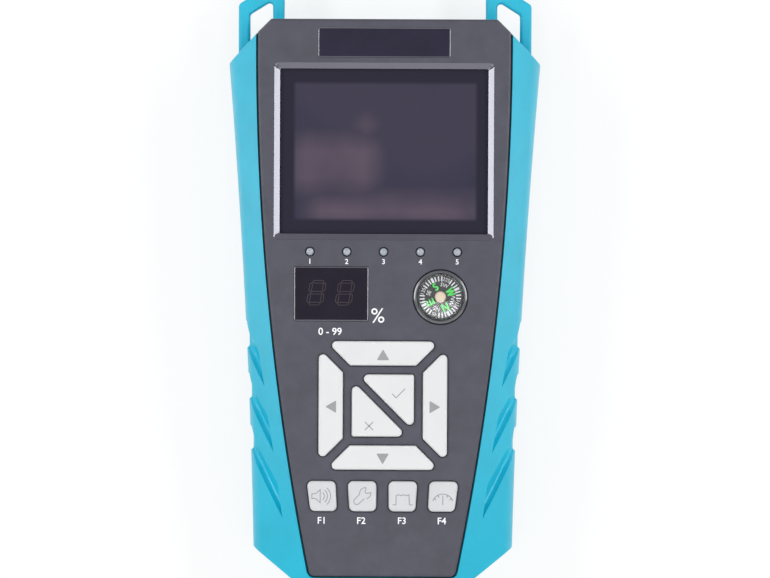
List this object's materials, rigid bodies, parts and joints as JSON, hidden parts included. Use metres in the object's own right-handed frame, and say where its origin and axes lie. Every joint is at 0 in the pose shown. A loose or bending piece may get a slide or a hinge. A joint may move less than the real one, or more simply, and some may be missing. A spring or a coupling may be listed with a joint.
{
  "type": "satellite signal meter",
  "caption": "Handheld satellite signal meter: screen, digit display, compass and keypad in a flat two-colour housing with strap loops, aerial socket, power inlet and battery bay.",
  "frame": {"origin": "on the back, under the middle of the whole object's box", "axes": "lying on its back: +Z out of the front panel, +Y to the top end with the strap loops, +X to the right seen from the front"},
  "size_m": [0.121, 0.2466, 0.0474],
  "materials": {
    "turquoise_plastic": "smooth satin",
    "charcoal_plastic": "fine grain",
    "key_plastic": "smooth satin",
    "black_plastic": "satin",
    "smoked_window": "polished",
    "screen_glass": "polished",
    "clear_lens": "polished",
    "lamp_plastic": "polished",
    "foam": "matte",
    "silicone": "matte",
    "board": "solder mask",
    "ribbon": "satin film",
    "tinplate": "brushed",
    "nickel": "plated",
    "screw_steel": "zinc plated",
    "brass": "turned",
    "cell_wrap": "shrink film",
    "wire": "satin",
    "white_plastic": "satin"
  },
  "bodies": {
    "housing": {"rear_shell": "turquoise_plastic", "front_shell": "charcoal_plastic", "shell_screws": "screw_steel", "battery_door": "turquoise_plastic", "door_screw": "screw_steel", "name_plate": "smoked_window", "screen_window": "smoked_window", "screen_gasket": "foam", "lcd_panel": "screen_glass", "lcd_holder": "black_plastic", "lcd_ribbon": "ribbon", "digit_window": "smoked_window", "digit_display": "black_plastic", "status_lamps": "lamp_plastic", "compass_case": "black_plastic", "compass_pivot": "brass", "compass_lens": "clear_lens", "key_mat": "silicone", "key_board": "board", "key_board_screws": "screw_steel", "board_link": "black_plastic", "main_board": "board", "main_board_screws": "screw_steel", "tuner_can": "tinplate", "aerial_socket": "nickel", "socket_insulator": "white_plastic", "socket_washer": "nickel", "socket_nut": "nickel", "power_inlet": "black_plastic", "switch_body": "tinplate", "battery_pack": "cell_wrap", "battery_lead": "wire", "battery_plug": "white_plastic", "sounder": "black_plastic"},
    "key_up_body": {"key_up": "key_plastic"},
    "key_left_body": {"key_left": "key_plastic"},
    "key_down_body": {"key_down": "key_plastic"},
    "key_right_body": {"key_right": "key_plastic"},
    "key_ok_body": {"key_ok": "key_plastic"},
    "key_exit_body": {"key_exit": "key_plastic"},
    "key_alarm_body": {"key_alarm": "key_plastic"},
    "key_tools_body": {"key_tools": "key_plastic"},
    "key_spectrum_body": {"key_spectrum": "key_plastic"},
    "key_meter_body": {"key_meter": "key_plastic"},
    "compass_rose": {"compass_magnet": "tinplate", "compass_card": "black_plastic", "compass_cap": "brass"},
    "power_slider": {"switch_slider": "black_plastic"}
  },
  "joints": [
    {"name": "key_up_press", "type": "slide", "parent": "housing", "child": "key_up_body", "axis": [0, 0, -1], "range_m": [0, 0.001], "stiffness_N_per_m": 1200},
    {"name": "key_left_press", "type": "slide", "parent": "housing", "child": "key_left_body", "axis": [0, 0, -1], "range_m": [0, 0.001], "stiffness_N_per_m": 1200},
    {"name": "key_down_press", "type": "slide", "parent": "housing", "child": "key_down_body", "axis": [0, 0, -1], "range_m": [0, 0.001], "stiffness_N_per_m": 1200},
    {"name": "key_right_press", "type": "slide", "parent": "housing", "child": "key_right_body", "axis": [0, 0, -1], "range_m": [0, 0.001], "stiffness_N_per_m": 1200},
    {"name": "key_ok_press", "type": "slide", "parent": "housing", "child": "key_ok_body", "axis": [0, 0, -1], "range_m": [0, 0.001], "stiffness_N_per_m": 1200},
    {"name": "key_exit_press", "type": "slide", "parent": "housing", "child": "key_exit_body", "axis": [0, 0, -1], "range_m": [0, 0.001], "stiffness_N_per_m": 1200},
    {"name": "key_alarm_press", "type": "slide", "parent": "housing", "child": "key_alarm_body", "axis": [0, 0, -1], "range_m": [0, 0.001], "stiffness_N_per_m": 1200},
    {"name": "key_tools_press", "type": "slide", "parent": "housing", "child": "key_tools_body", "axis": [0, 0, -1], "range_m": [0, 0.001], "stiffness_N_per_m": 1200},
    {"name": "key_spectrum_press", "type": "slide", "parent": "housing", "child": "key_spectrum_body", "axis": [0, 0, -1], "range_m": [0, 0.001], "stiffness_N_per_m": 1200},
    {"name": "key_meter_press", "type": "slide", "parent": "housing", "child": "key_meter_body", "axis": [0, 0, -1], "range_m": [0, 0.001], "stiffness_N_per_m": 1200},
    {"name": "compass_turn", "type": "hinge", "parent": "housing", "child": "compass_rose", "pos_m": [0.022, 0.00065, 0.042], "axis": [0, 0, 1], "continuous": true},
    {"name": "power_switch_slide", "type": "slide", "parent": "housing", "child": "power_slider", "axis": [1, 0, 0], "range_m": [0, 0.004]}
  ]
}
